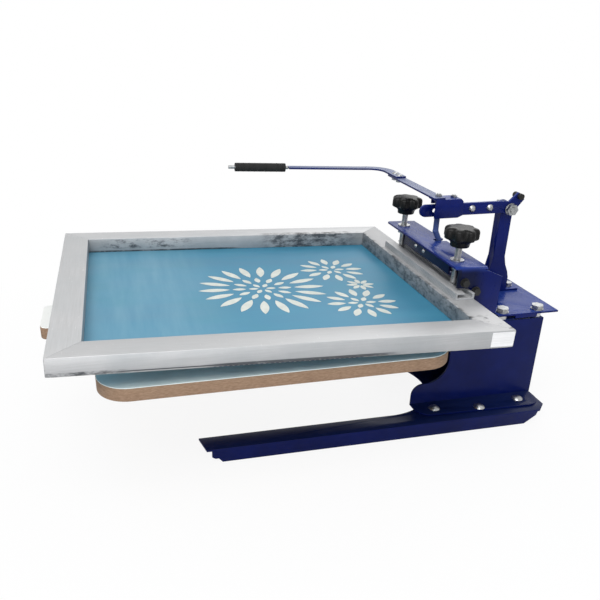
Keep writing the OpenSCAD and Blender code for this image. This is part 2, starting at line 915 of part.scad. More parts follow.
module handle_strap_upper() {
  bend_x = strap_x - strap_bend;
  bend_y = grip_y - strap_bend;
  high_z = strap_z + strap_t + seat;
  color(steel_blue) difference() {
    union() {
      at(0, 0, high_z) linear_extrude(strap_t) {
        translate([strap_x - strap_w / 2, lap_y]) square([strap_w, bend_y - lap_y]);
        translate([bend_x, bend_y]) bend_ring();
      }
      at(bend_x + 0.5, grip_y, high_z) rotate([0, 180 + strap_tilt, 0])
        translate([0, -strap_w / 2, -strap_t]) cube([strap_high_l, strap_w, strap_t]);
    }
    strap_bolt_places() cylinder(d = 6 + run_fit, h = 2 * strap_z);
  }
}

module strap_bolts() {
  color(zinc) strap_bolt_places() {
    translate([0, 0, strap_z - 5 - seat]) hex(10, 5);
    translate([0, 0, strap_z - 6]) cylinder(d = 6, h = 2 * strap_t + 7);
    translate([0, 0, strap_z + 2 * strap_t + 2 * seat]) round_bolt(6, 11, 3.2, 0);
  }
}

module grip_axis() {
  run = strap_high_l * cos(strap_tilt);
  rise = strap_high_l * sin(strap_tilt);
  at(strap_x - strap_bend - run, grip_y, strap_z + 1.5 * strap_t + rise) rotate([0, -90 + strap_tilt, 0])
    children();
}

module grip_stud() {
  color(zinc) grip_axis() translate([0, 0, 0.2]) cylinder(d = 6, h = grip_l + stub + 12);
}

module handle_grip() {
  color(black) grip_axis() translate([0, 0, stub]) difference() {
    cylinder(d = grip_d, h = grip_l);
    translate([0, 0, -1]) cylinder(d = 6.1, h = grip_l + 2);
  }
}

base_plate();
column_side_right();
column_side_left();
column_back();
column_top();
foot_bolts();
board_support();
support_bolts();
print_board();
print_board_top();
leveling_plate();
leveling_bolts();
leveling_spacers();
hinge_ears();
hinge_shaft();
handle_post();
plate_bolts();
pivot_bolt();
clamp_head();
clamp_jaw();
hinge_arms();
cheek_bolts();
head_hardware();
clamp_rail();
frame_front_bar();
frame_rear_bar();
frame_right_bar();
frame_left_bar();
screen_mesh();
clamp_screw_right();
clamp_knob_right();
clamp_screw_left();
clamp_knob_left();
lever_arm();
lever_screws();
lever_bumper();
handle_saddle();
saddle_bolts();
saddle_pin();
link_rod();
handle_strap_lower();
strap_bolts();
handle_strap_upper();
grip_stud();
handle_grip();
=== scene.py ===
# %% [markdown]
# # A tabletop screen printing press
# The press holds an aluminium screen in a blue steel clamp over a wood board. Its construction is
# loaded first and stays as it is. The cells below give it finishes, soft edges and small parts.

# %% Load the construction
import json
import math

import bmesh
import bpy
from mathutils import Matrix, Vector


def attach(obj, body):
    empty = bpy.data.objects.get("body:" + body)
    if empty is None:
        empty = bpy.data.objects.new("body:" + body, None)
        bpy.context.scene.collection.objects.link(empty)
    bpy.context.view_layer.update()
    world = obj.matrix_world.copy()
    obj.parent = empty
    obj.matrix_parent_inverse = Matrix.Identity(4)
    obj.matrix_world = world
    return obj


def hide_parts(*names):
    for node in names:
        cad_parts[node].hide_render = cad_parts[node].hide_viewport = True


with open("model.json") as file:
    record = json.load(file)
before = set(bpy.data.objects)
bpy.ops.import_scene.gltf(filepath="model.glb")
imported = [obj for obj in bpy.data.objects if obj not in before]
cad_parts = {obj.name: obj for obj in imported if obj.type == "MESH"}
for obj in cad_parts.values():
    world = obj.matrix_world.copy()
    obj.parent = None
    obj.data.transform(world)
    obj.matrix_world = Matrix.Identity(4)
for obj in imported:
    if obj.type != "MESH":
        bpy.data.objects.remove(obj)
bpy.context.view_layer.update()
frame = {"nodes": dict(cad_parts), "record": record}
nodes = frame["nodes"]
bodies = frame["record"]["behaviour"]["bodies"]
body_of = {node: body for body, members in bodies.items() for node in members}

# %% [markdown]
# The screen is photographed lifted by two degrees about the hinge behind it. Its pieces are easier
# to draw level, so a single matrix carries what is drawn level into the lifted place.

# %% Sizes in metres and the lift of the screen
MM = 0.001
SCREEN_LIFT = math.radians(2)
HINGE = Vector((0.314, 0.0, 0.217))
FRAME_FRONT, FRAME_REAR = -0.387, 0.213
FRAME_SIDE = 0.25
FRAME_BOTTOM, FRAME_TOP = 0.2125, 0.2375
HEAD_TOP = 0.283
SCREW_X, SCREW_Y = 0.2006, 0.096
lifted = (Matrix.Translation(HINGE) @ Matrix.Rotation(SCREEN_LIFT, 4, "Y")
          @ Matrix.Translation(-HINGE))
front_rise = (FRAME_FRONT - HINGE.x) * -math.sin(SCREEN_LIFT)
print("front of the screen rises by", round(front_rise / MM, 1), "mm")

# %% [markdown]
# A finish on a real machine is never one flat colour. Each material here starts from a principled
# shader and adds noise read in object coordinates, so that a grain keeps its real scale on any
# piece.

# %% Helpers for materials
def new_material(name):
    material = bpy.data.materials.new(name)
    material.use_nodes = True
    return material, material.node_tree, material.node_tree.nodes["Principled BSDF"]


def noise(tree, size, stretch=(1, 1, 1), detail=4.0, roughness=0.6):
    """Noise whose grains are about size metres, drawn out where stretch is small."""
    place = tree.nodes.new("ShaderNodeTexCoord")
    mapping = tree.nodes.new("ShaderNodeMapping")
    mapping.inputs["Scale"].default_value = stretch
    texture = tree.nodes.new("ShaderNodeTexNoise")
    texture.inputs["Scale"].default_value = 1 / size
    texture.inputs["Detail"].default_value = detail
    texture.inputs["Roughness"].default_value = roughness
    tree.links.new(place.outputs["Object"], mapping.inputs["Vector"])
    tree.links.new(mapping.outputs["Vector"], texture.inputs["Vector"])
    return texture.outputs["Fac"]


def ramp(tree, value, stops):
    """A colour for each position of a value, from a list of (position, colour)."""
    node = tree.nodes.new("ShaderNodeValToRGB")
    elements = node.color_ramp.elements
    while len(elements) < len(stops):
        elements.new(0.5)
    for element, (position, colour) in zip(elements, stops):
        element.position = position
        element.color = (*colour, 1)
    tree.links.new(value, node.inputs["Fac"])
    return node.outputs["Color"]


def grey(level):
    return (level, level, level)


def scaled(colour, factor):
    return tuple(factor * channel for channel in colour)


def mix(tree, factor, first, second):
    """First where the factor is 0, second where it is 1; each is a socket or a colour."""
    node = tree.nodes.new("ShaderNodeMix")
    node.data_type = "RGBA"
    tree.links.new(factor, node.inputs["Factor"])
    for socket, source in ((node.inputs["A"], first), (node.inputs["B"], second)):
        if isinstance(source, tuple):
            socket.default_value = (*source, 1)
        else:
            tree.links.new(source, socket)
    return node.outputs["Result"]


def math_node(tree, operation, first, second=0.0):
    node = tree.nodes.new("ShaderNodeMath")
    node.operation = operation
    for socket, source in zip(node.inputs, (first, second)):
        if isinstance(source, (int, float)):
            socket.default_value = source
        else:
            tree.links.new(source, socket)
    return node.outputs["Value"]


def bump(tree, shader, height, distance, strength=1.0):
    node = tree.nodes.new("ShaderNodeBump")
    node.inputs["Distance"].default_value = distance
    node.inputs["Strength"].default_value = strength
    tree.links.new(height, node.inputs["Height"])
    tree.links.new(node.outputs["Normal"], shader.inputs["Normal"])


def between(tree, axis, low, high, soft):
    """1 where a coordinate lies between low and high, softly.

    The axis "Level" is the height before the lift of the screen.
    """
    place = tree.nodes.new("ShaderNodeTexCoord")
    split = tree.nodes.new("ShaderNodeSeparateXYZ")
    tree.links.new(place.outputs["Object"], split.inputs["Vector"])
    if axis == "Level":
        ahead = math_node(tree, "SUBTRACT", split.outputs["X"], HINGE.x)
        run = math_node(tree, "MULTIPLY", ahead, math.sin(SCREEN_LIFT))
        source = math_node(tree, "ADD", split.outputs["Z"], run)
    else:
        source = split.outputs[axis]
    window = None
    for start, end in ((low - soft, low + soft), (high + soft, high - soft)):
        step = tree.nodes.new("ShaderNodeMapRange")
        step.interpolation_type = "SMOOTHSTEP"
        step.inputs["From Min"].default_value = start
        step.inputs["From Max"].default_value = end
        tree.links.new(source, step.inputs["Value"])
        value = step.outputs["Result"]
        window = value if window is None else math_node(tree, "MULTIPLY", window, value)
    return window


def within(tree, ranges):
    """1 inside every one of the (axis, low, high, soft) ranges."""
    mask = None
    for axis, low, high, soft in ranges:
        window = between(tree, axis, low, high, soft)
        mask = window if mask is None else math_node(tree, "MULTIPLY", mask, window)
    return mask


def vary_roughness(tree, shader, value, stops):
    """Roughness that follows a value, from a list of (position, roughness)."""
    rough = ramp(tree, value, [(position, grey(level)) for position, level in stops])
    tree.links.new(rough, shader.inputs["Roughness"])


print("material helpers ready")

# %% [markdown]
# The steel is finished in a royal blue gloss enamel. Sprayed enamel has a faint orange peel and
# small chips, and dust leaves patches that are a little duller. Faces that look up take a colour of
# their own: a paler painted sheen for the light they catch, and on the base a darker painted shade.
# On the clamp head, painted shade darkens the lip under its plate and the side plate near the
# bolts.

# %% Blue enamel
# The second colour, for faces that look up, is a painted sheen.
ROYAL_BLUE, ROYAL_BLUE_SHEEN = (0.002, 0.009, 0.115), (0.018, 0.045, 0.25)
CHIP_COLOUR = (0.14, 0.17, 0.26)
# Painted shade on the clamp head: its colour, its strength, and the windows where it lies, the lip
# under the plate and the side plate near the bolts.
PAINTED_SHADE_COLOUR, PAINTED_SHADE_STRENGTH = (0.001, 0.003, 0.018), 0.85
HEAD_PAINTED_SHADE = [
    [("X", 0.185, 0.193, 0.0005), ("Z", 0.255, 0.2842, 0.0005)],
    [("Y", -0.136, -0.128, 0.0005), ("X", 0.17, 0.226, 0.014), ("Z", 0.2, 0.284, 0.006)]]


def facing_up(tree):
    """1 on faces that look straight up, 0 on upright faces and below."""
    geometry = tree.nodes.new("ShaderNodeNewGeometry")
    split = tree.nodes.new("ShaderNodeSeparateXYZ")
    spread = tree.nodes.new("ShaderNodeMapRange")
    spread.inputs["From Min"].default_value = 0.15
    spread.inputs["From Max"].default_value = 0.95
    tree.links.new(geometry.outputs["True Normal"], split.inputs["Vector"])
    tree.links.new(split.outputs["Z"], spread.inputs["Value"])
    return spread.outputs["Result"]


def blue_enamel(name, upright, level, roughness, shade_windows=()):
    material, tree, shader = new_material(name)
    # Painted light: faces that look up take the level colour, upright faces the deeper one.
    up = facing_up(tree)
    patches = noise(tree, 0.05, detail=3)
    deep = ramp(tree, patches, [(0.35, scaled(upright, 0.75)), (0.65, upright)])
    pale = ramp(tree, patches, [(0.35, scaled(level, 0.85)), (0.65, level)])
    flakes = noise(tree, 0.005, detail=6, roughness=0.75)
    chips = ramp(tree, flakes, [(0.77, grey(0)), (0.8, grey(0.8))])
    shade = mix(tree, chips, mix(tree, up, deep, pale), CHIP_COLOUR)
    # Each window paints shade into the colour.
    for ranges in shade_windows:
        shade_amount = math_node(tree, "MULTIPLY", within(tree, ranges), PAINTED_SHADE_STRENGTH)
        shade = mix(tree, shade_amount, shade, PAINTED_SHADE_COLOUR)
    tree.links.new(shade, shader.inputs["Base Color"])
    dust = noise(tree, 0.018, detail=5)
    vary_roughness(tree, shader, dust, [(0.3, roughness), (0.75, roughness + 0.14)])
    shader.inputs["Specular IOR Level"].default_value = 0.12
    shader.inputs["Coat Weight"].default_value = 0.06
    shader.inputs["Coat Roughness"].default_value = 0.12
    bump(tree, shader, noise(tree, 0.0022, detail=2), 0.0001, 0.4)
    return material


enamel = blue_enamel("blue_enamel", ROYAL_BLUE, ROYAL_BLUE_SHEEN, 0.24)
# A darker copy of the blue for pieces that sit in shade: painted shade.
enamel_shaded = blue_enamel(
    "blue_enamel_underside", (0.003, 0.008, 0.07), (0.012, 0.03, 0.16), 0.34)
# The link rod is a paler blue grey: blue paint with a painted reflection of the surfaces around it.
enamel_rod_sheen = blue_enamel("blue_enamel_rod_sheen", (0.05, 0.08, 0.22), (0.16, 0.21, 0.4), 0.34)
# On the base the level colour is darker than the upright one: painted shade on its top faces.
enamel_base = blue_enamel("blue_enamel_base", (0.0015, 0.007, 0.085), (0.004, 0.011, 0.065), 0.3)
enamel_head = blue_enamel("blue_enamel_head", ROYAL_BLUE, ROYAL_BLUE_SHEEN, 0.24, HEAD_PAINTED_SHADE)
# The straps' pale level colour is a painted highlight on their tops.
enamel_strap = blue_enamel("blue_enamel_strap", (0.006, 0.014, 0.11), (0.15, 0.18, 0.31), 0.3)
enamels = (enamel, enamel_shaded, enamel_rod_sheen, enamel_base, enamel_head, enamel_strap)
print(*(finish.name for finish in enamels))

# %% [markdown]
# The screen frame is drawn aluminium tube. Its brushing runs along each bar, so the noise is drawn
# out along that bar. Years of printing left grey haze and black ink smears on it, which stay. Faces
# that do not look up are darkened in patches with painted shade; faces that look up keep the metal.

# %% Brushed aluminium with ink
HAZE_COLOUR, SPECK_COLOUR = (0.4, 0.43, 0.44), (0.05, 0.055, 0.06)
INK_COLOUR, SIDE_SHADE_COLOUR = (0.018, 0.019, 0.022), (0.13, 0.155, 0.18)


def brushed_aluminium(name, stretch, smears=(), level=0.5, side_shade=0.35):
    material, tree, shader = new_material(name)
    grain = noise(tree, 0.0012, stretch, detail=5)
    haze = noise(tree, 0.07, detail=4)
    metal = ramp(tree, grain, [(0.3, grey(0.84 * level)), (0.7, (level, level, 1.01 * level))])
    marks = noise(tree, 0.0009, (0.35, 0.05, 0.35), detail=3)
    scratches = ramp(tree, marks, [(0.66, grey(0)), (0.72, grey(0.5))])
    metal = mix(tree, scratches, metal, grey(min(0.95, 1.3 * level)))
    cloudy = ramp(tree, haze, [(0.35, grey(0)), (0.75, grey(0.35))])
    colour = mix(tree, cloudy, metal, HAZE_COLOUR)
    spots = noise(tree, 0.004, detail=6, roughness=0.7)
    specks = ramp(tree, spots, [(0.72, grey(0)), (0.76, grey(0.8))])
    colour = mix(tree, specks, colour, SPECK_COLOUR)
    for ranges, amount in smears:
        mask = within(tree, ranges)
        blot = noise(tree, 0.011, (0.6, 0.8, 1.4), detail=7, roughness=0.72)
        blots = ramp(tree, blot, [(0.6 - amount, grey(0)), (0.7 - amount * 0.6, grey(0.92))])
        colour = mix(tree, math_node(tree, "MULTIPLY", mask, blots), colour, INK_COLOUR)
    # Painted shade: faces that do not look up are darkened in patches, faces that look up are not.
    side_shade_patches = ramp(tree, haze, [(0.3, grey(side_shade)), (0.7, grey(2 * side_shade))])
    shaded = mix(tree, side_shade_patches, colour, SIDE_SHADE_COLOUR)
    tree.links.new(mix(tree, facing_up(tree), shaded, colour), shader.inputs["Base Color"])
    shader.inputs["Metallic"].default_value = 0.4
    vary_roughness(tree, shader, grain, [(0.3, 0.42), (0.75, 0.58)])
    bump(tree, shader, grain, 0.00004, 0.6)
    return material


ALONG_X, ALONG_Y = (0.02, 1, 1), (1, 0.02, 1)
FAR_INNER, NEAR_OUTER = ("Y", 0.2, 0.2125, 0.002), ("Y", -0.252, -0.2485, 0.0004)
FAR_SMEARS = [
    ([("X", -0.02, 0.15, 0.03), ("Y", 0.2, 0.22, 0.004)], 0.2),
    ([("X", -0.345, -0.08, 0.02), ("Level", 0.211, 0.2155, 0.0008), FAR_INNER], 0.3),
    ([("X", -0.315, -0.17, 0.03), ("Level", 0.219, 0.235, 0.003), FAR_INNER], 0.13)]
NEAR_SMEARS = [
    ([("X", -0.4, -0.3, 0.012), ("Level", 0.211, 0.2178, 0.0008), NEAR_OUTER], 0.2),
    ([("X", -0.31, -0.17, 0.02), ("Level", 0.2141, 0.2158, 0.0003), NEAR_OUTER], 0.6),
    ([("X", -0.19, 0.04, 0.02), ("Level", 0.211, 0.2168, 0.0004), NEAR_OUTER], 0.42)]
REAR_SMEARS = [
    ([("X", 0.165, 0.176, 0.003), ("Z", 0.2, 0.26, 0.01)], 0.15),
    ([("Y", -0.252, -0.2, 0.012), ("X", 0.16, 0.22, 0.01)], 0.06)]
bar_metal = {
    "frame_left_bar": brushed_aluminium(
        "aluminium_left_bar", ALONG_X, FAR_SMEARS, level=0.6, side_shade=0.2),
    "frame_right_bar": brushed_aluminium(
        "aluminium_right_bar", ALONG_X, NEAR_SMEARS, level=0.54, side_shade=0.16),
    "frame_front_bar": brushed_aluminium("aluminium_front_bar", ALONG_Y, level=0.56),
    "frame_rear_bar": brushed_aluminium("aluminium_rear_bar", ALONG_Y, REAR_SMEARS),
    "clamp_rail": brushed_aluminium("aluminium_rail", ALONG_Y, level=0.62),
}
print(len(bar_metal), "aluminium finishes")

# %% [markdown]
# Bolts, nuts and washers are zinc plated: a cool bright metal, a little mottled, with a yellow
# tinge. Plastics, foam, nylon and board are dielectric, so they differ in colour, roughness and
# texture.

# %% Zinc, plastics, foam, nylon and board
def zinc_plate():
    material, tree, shader = new_material("zinc_plate")
    mottle = noise(tree, 0.006, detail=5)
    colour = ramp(tree, mottle, [
        (0.3, (0.27, 0.27, 0.26)), (0.55, (0.42, 0.43, 0.44)), (0.8, (0.5, 0.48, 0.42))])
    tree.links.new(colour, shader.inputs["Base Color"])
    shader.inputs["Metallic"].default_value = 1.0
    vary_roughness(tree, shader, mottle, [(0.3, 0.38), (0.8, 0.24)])
    bump(tree, shader, noise(tree, 0.0008, detail=3), 0.00003, 0.6)
    return material


def moulded(name, colour, roughness, grain_size, grain_depth, worn=None, specular=0.25):
    material, tree, shader = new_material(name)
    patches = noise(tree, 0.012, detail=4)
    shade = ramp(tree, patches, [(0.3, colour), (0.8, worn or scaled(colour, 1.5))])
    tree.links.new(shade, shader.inputs["Base Color"])
    vary_roughness(tree, shader, patches, [(0.3, roughness), (0.8, roughness + 0.12)])
    shader.inputs["Specular IOR Level"].default_value = specular
    bump(tree, shader, noise(tree, grain_size, detail=3), grain_depth, 0.7)
    return material


def fibreboard():
    material, tree, shader = new_material("fibreboard_edge")
    layers = noise(tree, 0.0015, (0.25, 0.25, 1), detail=6)
    colour = ramp(tree, layers, [(0.3, (0.2, 0.12, 0.07)), (0.7, (0.31, 0.205, 0.135))])
    stains = ramp(tree, noise(tree, 0.03, detail=5), [(0.55, grey(0)), (0.8, grey(0.5))])
    tree.links.new(mix(tree, stains, colour, (0.15, 0.085, 0.05)), shader.inputs["Base Color"])
    shader.inputs["Roughness"].default_value = 0.78
    bump(tree, shader, layers, 0.00015, 0.6)
    return material


def board_laminate():
    material, tree, shader = new_material("board_laminate")
    clouds = noise(tree, 0.045, detail=5)
    colour = ramp(tree, clouds, [(0.3, (0.6, 0.68, 0.67)), (0.75, (0.72, 0.8, 0.78))])
    marks = noise(tree, 0.004, (0.2, 1, 1), detail=6)
    scuffs = ramp(tree, marks, [(0.64, grey(0)), (0.74, grey(0.5))])
    collar = between(tree, "X", -0.43, -0.345, 0.006)
    colour = mix(tree, collar, colour, (0.92, 0.92, 0.88))
    tree.links.new(mix(tree, scuffs, colour, (0.72, 0.75, 0.74)), shader.inputs["Base Color"])
    vary_roughness(tree, shader, clouds, [(0.3, 0.32), (0.8, 0.5)])
    bump(tree, shader, noise(tree, 0.002, detail=2), 0.00004, 0.5)
    return material


zinc = zinc_plate()
knob_plastic = moulded("knob_plastic", grey(0.005), 0.3, 0.0007, 0.00003, grey(0.009), 0.16)
black_oxide = moulded("black_oxide", grey(0.016), 0.3, 0.0012, 0.00004)
bumper_rubber = moulded("bumper_rubber", grey(0.012), 0.55, 0.001, 0.00008)
foam = moulded("grip_foam", grey(0.014), 0.82, 0.0011, 0.0005, grey(0.03))
nylon = moulded("white_nylon", (0.8, 0.8, 0.77), 0.4, 0.001, 0.00003, (0.72, 0.71, 0.66))
board_edge = fibreboard()
board_top = board_laminate()
print("zinc, plastics, foam, nylon and board made")

# %% [markdown]
# A coated screen is polyester mesh filled with blue emulsion. The weave shows as a fine grid in the
# gloss, and the coating trough leaves long soft streaks. Where the stencil is open, the pale mesh
# shows.

# %% Coated mesh and open mesh
WEAVE_PITCH = 0.0009
WAVE_LENGTH = 0.314  # Metres from band to band of a wave texture whose scale is 1


def woven(tree):
    """Height of a plain weave: two crossed sets of threads."""
    place = tree.nodes.new("ShaderNodeTexCoord")
    height = None
    for direction in ("X", "Y"):
        wave = tree.nodes.new("ShaderNodeTexWave")
        wave.bands_direction = direction
        wave.inputs["Scale"].default_value = WAVE_LENGTH / WEAVE_PITCH
        tree.links.new(place.outputs["Object"], wave.inputs["Vector"])
        value = wave.outputs["Fac"]
        height = value if height is None else math_node(tree, "MAXIMUM", height, value)
    return height


def coated_mesh():
    material, tree, shader = new_material("coated_mesh")
    streaks = noise(tree, 0.05, (0.12, 1, 1), detail=4)
    colour = ramp(tree, streaks, [
        (0.25, (0.034, 0.2, 0.33)), (0.55, (0.046, 0.235, 0.37)), (0.8, (0.065, 0.27, 0.4))])
    front = between(tree, "X", -0.36, -0.17, 0.06)
    washed = math_node(tree, "MULTIPLY", front, noise(tree, 0.02, (1, 0.1, 1)))
    colour = mix(tree, washed, colour, (0.17, 0.36, 0.47))
    ghost = ramp(tree, noise(tree, 0.09, detail=3), [(0.5, grey(0)), (0.8, grey(0.35))])
    tree.links.new(mix(tree, ghost, colour, (0.05, 0.26, 0.33)), shader.inputs["Base Color"])
    vary_roughness(tree, shader, streaks, [(0.3, 0.42), (0.8, 0.6)])
    bump(tree, shader, woven(tree), 0.00003, 0.5)
    return material


def open_mesh():
    material, tree, shader = new_material("open_mesh")
    clouds = noise(tree, 0.012, detail=4)
    colour = ramp(tree, clouds, [(0.3, (0.6, 0.63, 0.58)), (0.75, (0.76, 0.78, 0.72))])
    tree.links.new(colour, shader.inputs["Base Color"])
    shader.inputs["Roughness"].default_value = 0.6
    bump(tree, shader, woven(tree), 0.00005, 0.6)
    return material


emulsion = coated_mesh()
bare_mesh = open_mesh()
print(emulsion.name, bare_mesh.name)

# %% [markdown]
# Every node of the construction takes its finish from this table. Nodes that stay as they are only
# need the material in their slots. Nodes with a long visible edge get a softened copy in the next
# step.

# %% A finish for each node
finish_of = dict(bar_metal)
members = {
    enamel: (
        "column_back", "column_top", "leveling_plate", "hinge_ears", "handle_post", "lever_arm",
        "handle_saddle", "saddle_pin"),
    enamel_head: ("clamp_head",),
    enamel_strap: ("handle_strap_lower", "handle_strap_upper"),
    enamel_shaded: ("board_support", "clamp_jaw", "hinge_arms"),
    enamel_base: ("base_plate", "column_side_right", "column_side_left"),
    enamel_rod_sheen: ("link_rod",),
    zinc: (
        "foot_bolts", "support_bolts", "leveling_bolts", "hinge_shaft", "plate_bolts", "pivot_bolt",
        "head_hardware", "clamp_screw_right", "clamp_screw_left", "lever_screws", "saddle_bolts",
        "strap_bolts", "grip_stud"),
    knob_plastic: ("clamp_knob_right", "clamp_knob_left"),
    board_edge: ("print_board",),
    board_top: ("print_board_top",),
    nylon: ("leveling_spacers",),
    black_oxide: ("cheek_bolts",),
    bumper_rubber: ("lever_bumper",),
    foam: ("handle_grip",),
    emulsion: ("screen_mesh",)}
for finish, names in members.items():
    finish_of.update({name: finish for name in names})
for name, node in nodes.items():
    node.data.materials.clear()
    node.data.materials.append(finish_of[name])
print("finished", len(finish_of), "nodes")

# %% [markdown]
# Sheet metal and extrusions have small radii that catch the light. A merged copy of a node, with
# its flat facets joined again and a bevel on its sharp edges, gives them without changing any size.

# %% Soft edges on the large pieces
MERGE_DISTANCE = 0.01 * MM
FLAT_ANGLE, EDGE_ANGLE = math.radians(0.5), math.radians(40)


def add_piece(name, mesh, body, material=None):
    piece = bpy.data.objects.new(name, mesh)
    bpy.context.scene.collection.objects.link(piece)
    if material is not None:
        mesh.materials.clear()
        mesh.materials.append(material)
    if body is not None:
        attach(piece, body)
    return piece


def flatten_modifiers(piece):
    """Turns what a piece's modifiers make into its plain mesh."""
    depsgraph = bpy.context.evaluated_depsgraph_get()
    made = bpy.data.meshes.new_from_object(piece.evaluated_get(depsgraph))
    piece.modifiers.clear()
    piece.data = made
    return made


def smooth(mesh, angle=35):
    mesh.shade_smooth()
    mesh.set_sharp_from_angle(angle=math.radians(angle))


def softened(node, width):
    mesh = nodes[node].data.copy()
    shape = bmesh.new()
    shape.from_mesh(mesh)
    bmesh.ops.remove_doubles(shape, verts=shape.verts, dist=MERGE_DISTANCE)
    bmesh.ops.dissolve_limit(
        shape, angle_limit=FLAT_ANGLE, verts=shape.verts, edges=shape.edges)
    shape.to_mesh(mesh)
    shape.free()
    piece = add_piece(node + "_finished", mesh, None)
    bevel = piece.modifiers.new("edge_radius", "BEVEL")
    bevel.width = width
    bevel.segments = 2
    bevel.angle_limit = EDGE_ANGLE
    flatten_modifiers(piece)
    smooth(piece.data)
    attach(piece, body_of[node])
    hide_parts(node)
    return len(piece.data.polygons)


edge_radius = {
    "frame_left_bar": 0.9, "frame_right_bar": 0.9, "frame_front_bar": 0.9, "frame_rear_bar": 0.9,
    "clamp_rail": 0.12, "base_plate": 0.6, "column_side_right": 0.7, "column_side_left": 0.7,
    "leveling_plate": 0.6, "clamp_head": 0.6, "lever_arm": 0.7, "handle_saddle": 0.6,
    "handle_strap_lower": 0.5, "handle_strap_upper": 0.5, "handle_post": 0.6, "print_board": 1.0,
    "board_support": 0.9}
for name, width in edge_radius.items():
    print(name, softened(name, width * MM), "faces")

# %% [markdown]
# The star knobs are moulded, with seven soft lobes that a hand can grip. Their outline is a circle
# with round notches, so one function gives the radius at each angle, and rings of it make the whole
# knob. They are drawn in millimetres and scaled at the end.

# %% Star knobs
KNOB_RADIUS, NOTCH_RADIUS, NOTCH_CENTRE, LOBES = 26.0, 7.5, 28.5, 7
KNOB_STEPS, KNOB_SMOOTH_ANGLE = 160, 50
# Height and radius of each ring, and the share of the notches' depth that it shows
KNOB_RINGS = [
    (0.1, 13.6, 0), (0.5, 14.0, 0), (6.0, 15.0, 0.15), (8.5, 17.2, 0.35), (10.6, 21.0, 0.7),
    (11.8, 24.0, 0.95), (12.8, 25.4, 1), (14.2, 26.0, 1), (23.4, 26.0, 1), (25.6, 25.3, 1),
    (27.2, 23.8, 1), (28.3, 21.6, 0.85), (29.0, 18.8, 0.4), (29.3, 15.0, 0), (29.4, 6.0, 0)]
KNOB_FOOT = HEAD_TOP + 22.6 * MM
SCREWS = (("right", -SCREW_Y), ("left", SCREW_Y))


def lobed_radius(angle):
    """Radius of the notched circle, in millimetres."""
    offset = (angle + math.pi / LOBES) % (2 * math.pi / LOBES) - math.pi / LOBES
    inside = NOTCH_RADIUS ** 2 - (NOTCH_CENTRE * math.sin(offset)) ** 2
    if inside <= 0:
        return KNOB_RADIUS
    return min(KNOB_RADIUS, NOTCH_CENTRE * math.cos(offset) - math.sqrt(inside))


def star_knob(side, y):
    angles = [2 * math.pi * step / KNOB_STEPS for step in range(KNOB_STEPS)]
    sharp = [lobed_radius(angle) for angle in angles]
    outline = [sum(sharp[(i + shift) % KNOB_STEPS] for shift in range(-2, 3)) / 5
               for i in range(KNOB_STEPS)]
    shape = bmesh.new()
    rings = []
    for height, radius, lobed in KNOB_RINGS:
        ring = []
        for angle, edge in zip(angles, outline):
            reach = radius - lobed * (KNOB_RADIUS - edge)
            corner = (reach * math.cos(angle), reach * math.sin(angle), height)
            ring.append(shape.verts.new(corner))
        rings.append(ring)
    for low, high in zip(rings, rings[1:]):
        for i in range(KNOB_STEPS):
            after = (i + 1) % KNOB_STEPS
            shape.faces.new((low[i], low[after], high[after], high[i]))
    shape.faces.new(rings[-1])
    shape.faces.new(list(reversed(rings[0])))
    mesh = bpy.data.meshes.new("star_knob_" + side)
    shape.to_mesh(mesh)
    shape.free()
    mesh.transform(Matrix.Scale(MM, 4))
    mesh.transform(lifted @ Matrix.Translation((SCREW_X, y, KNOB_FOOT)))
    smooth(mesh, KNOB_SMOOTH_ANGLE)
    piece = add_piece("star_knob_" + side, mesh, "knob_" + side, knob_plastic)
    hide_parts("clamp_knob_" + side)
    return piece


for side, y in SCREWS:
    print(star_knob(side, y).name)

# %% [markdown]
# The mesh is a stretched sheet glued under the frame, with a notch where the clamp's jaw grips the
# bar. It is thin, flat and closed, and its weave lives in the material.

# %% Stretched mesh
MESH_EDGE = 6 * MM
MESH_THICK = 0.5 * MM
MESH_TOP = FRAME_BOTTOM - 0.05 * MM
NOTCH_FRONT, NOTCH_SIDE = FRAME_REAR - 39 * MM, 0.132


def flat_solid(name, outline, top, thickness):
    """A closed flat piece with this outline, drawn level and then lifted."""
    shape = bmesh.new()
    corners = [shape.verts.new((x, y, top)) for x, y in outline]
    face = shape.faces.new(corners)
    made = bmesh.ops.extrude_face_region(shape, geom=[face])
    lowered = [item for item in made["geom"] if isinstance(item, bmesh.types.BMVert)]
    bmesh.ops.translate(shape, verts=lowered, vec=(0, 0, -thickness))
    bmesh.ops.recalc_face_normals(shape, faces=shape.faces)
    mesh = bpy.data.meshes.new(name)
    shape.to_mesh(mesh)
    shape.free()
    mesh.transform(lifted)
    return mesh


x0, x1, y1 = FRAME_FRONT + MESH_EDGE, FRAME_REAR - MESH_EDGE, FRAME_SIDE - MESH_EDGE
mesh_outline = [
    (x0, -y1), (x1, -y1), (x1, -NOTCH_SIDE), (NOTCH_FRONT, -NOTCH_SIDE),
    (NOTCH_FRONT, NOTCH_SIDE), (x1, NOTCH_SIDE), (x1, y1), (x0, y1)]
sheet_solid = flat_solid("stretched_mesh", mesh_outline, MESH_TOP, MESH_THICK)
sheet = add_piece("stretched_mesh", sheet_solid, "screen_head", emulsion)
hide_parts("screen_mesh")
print("mesh", round(x1 - x0, 3), "by", round(2 * y1, 3), "m")

# %% [markdown]
# Anything that repeats is left to Geometry Nodes: one instance on each point, real geometry at the
# end. A small builder makes a tree with named inputs, and the result is turned into a plain mesh.

